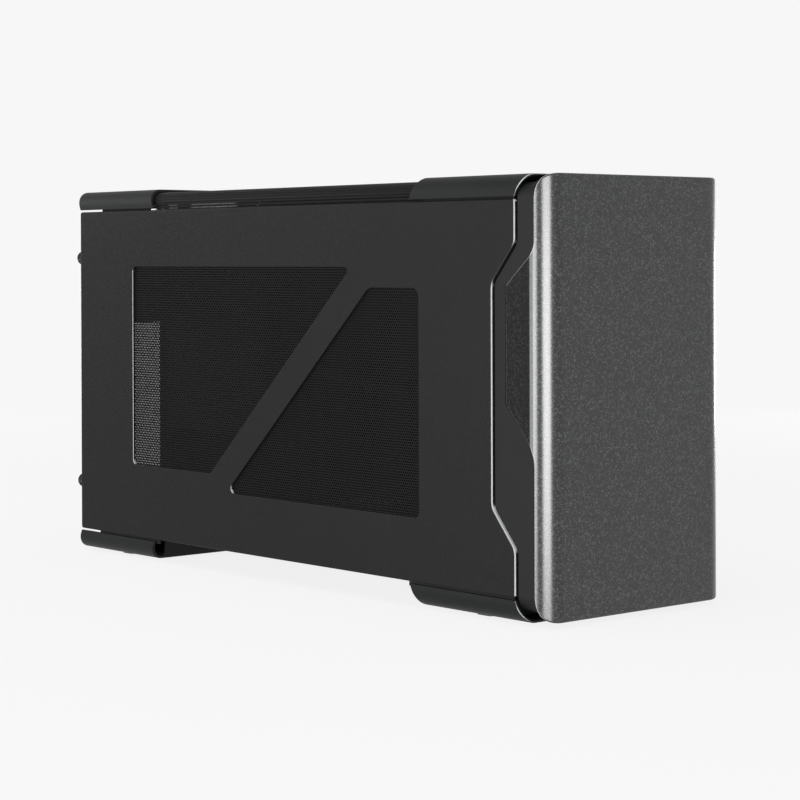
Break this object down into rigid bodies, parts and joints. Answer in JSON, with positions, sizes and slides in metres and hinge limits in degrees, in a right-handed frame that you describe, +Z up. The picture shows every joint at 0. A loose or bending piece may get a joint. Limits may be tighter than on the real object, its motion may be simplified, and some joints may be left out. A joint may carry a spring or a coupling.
{
  "type": "external graphics card enclosure",
  "caption": "Tall box enclosure for a graphics card: folded front panel, slanted mesh windows on one side, perforated top, wrap-over bands that are also its feet, and a power supply inside.",
  "frame": {"origin": "on the surface that the foot pads stand on, under the middle of the body", "axes": "+X to the right seen from the front, +Y from the front face to the rear, +Z up"},
  "size_m": [0.127, 0.408, 0.217],
  "materials": {
    "front_coat": "fine sparkle satin coat, gunmetal",
    "black_coat": "fine textured powder coat, black",
    "band_coat": "satin powder coat, dark grey",
    "mesh_coat": "satin coat on perforated sheet, black",
    "frame_plastic": "fine spark-eroded texture, black",
    "chassis_coat": "matt coat, black",
    "zinc_steel": "zinc-plated steel",
    "thumb_steel": "black oxide steel",
    "pad_rubber": "matt rubber",
    "fan_plastic": "matt moulded plastic, black",
    "psu_coat": "matt coat, black",
    "connector_plastic": "smooth moulded plastic, black",
    "board_laminate": "solder-resist laminate, dark green",
    "sink_aluminium": "extruded aluminium",
    "port_steel": "nickel-plated sheet",
    "lead_sleeve": "soft plastic sleeve, black"
  },
  "bodies": {
    "enclosure": {"front_panel": "front_coat", "front_frame": "frame_plastic", "side_panel_right": "black_coat", "right_panel_screws": "thumb_steel", "top_mesh": "mesh_coat", "front_top_band": "band_coat", "rear_top_band": "band_coat", "front_foot_band": "band_coat", "rear_foot_band": "band_coat", "front_foot_bracket": "chassis_coat", "rear_foot_bracket": "chassis_coat", "band_posts": "zinc_steel", "foot_pads": "pad_rubber", "chassis_floor": "chassis_coat", "chassis_roof": "chassis_coat", "chassis_front_wall": "chassis_coat", "rear_panel": "chassis_coat", "front_screws": "zinc_steel", "bracket_shelf": "zinc_steel", "fan_frame": "fan_plastic", "fan_screws": "thumb_steel", "psu_case": "psu_coat", "psu_fan_guard": "zinc_steel", "psu_inlet": "connector_plastic", "psu_switch_housing": "connector_plastic", "psu_screws": "zinc_steel", "psu_shelf": "chassis_coat", "host_board": "board_laminate", "board_standoffs": "zinc_steel", "board_screws": "zinc_steel", "pcie_slot": "connector_plastic", "controller_heatsink": "sink_aluminium", "usb_c_socket": "port_steel", "usb_a_sockets": "port_steel", "board_power_socket": "connector_plastic", "power_plug": "connector_plastic", "power_lead": "lead_sleeve", "lead_grommet": "pad_rubber"},
    "side_panel": {"side_panel_left": "black_coat", "side_mesh_left": "mesh_coat"},
    "upper_thumbscrew": {"thumbscrew_upper": "thumb_steel"},
    "lower_thumbscrew": {"thumbscrew_lower": "thumb_steel"},
    "case_fan": {"fan_rotor": "fan_plastic"},
    "supply_fan": {"psu_fan_rotor": "fan_plastic"},
    "power_switch": {"psu_switch_rocker": "connector_plastic"},
    "slot_latch": {"pcie_latch": "connector_plastic"}
  },
  "joints": [
    {"name": "panel_slide", "type": "slide", "parent": "enclosure", "child": "side_panel", "axis": [0, 1, 0], "range_m": [0, 0.385]},
    {"name": "upper_thumbscrew_turn", "type": "hinge", "parent": "side_panel", "child": "upper_thumbscrew", "pos_m": [-0.0575, 0.2, 0.177], "axis": [0, 1, 0], "continuous": true},
    {"name": "lower_thumbscrew_turn", "type": "hinge", "parent": "side_panel", "child": "lower_thumbscrew", "pos_m": [-0.0575, 0.2, 0.0415], "axis": [0, 1, 0], "continuous": true},
    {"name": "case_fan_spin", "type": "hinge", "parent": "enclosure", "child": "case_fan", "pos_m": [0, -0.165, 0.1098], "axis": [0, 1, 0], "continuous": true},
    {"name": "supply_fan_spin", "type": "hinge", "parent": "enclosure", "child": "supply_fan", "pos_m": [0.05, 0.1454, 0.1345], "axis": [1, 0, 0], "continuous": true},
    {"name": "power_switch_rock", "type": "hinge", "parent": "enclosure", "child": "power_switch", "pos_m": [0.024, 0.1924, 0.15], "axis": [1, 0, 0], "range_deg": [-16, 0]},
    {"name": "slot_latch_turn", "type": "hinge", "parent": "enclosure", "child": "slot_latch", "pos_m": [-0.011, 0.053, 0.0267], "axis": [1, 0, 0], "range_deg": [0, 30]}
  ]
}
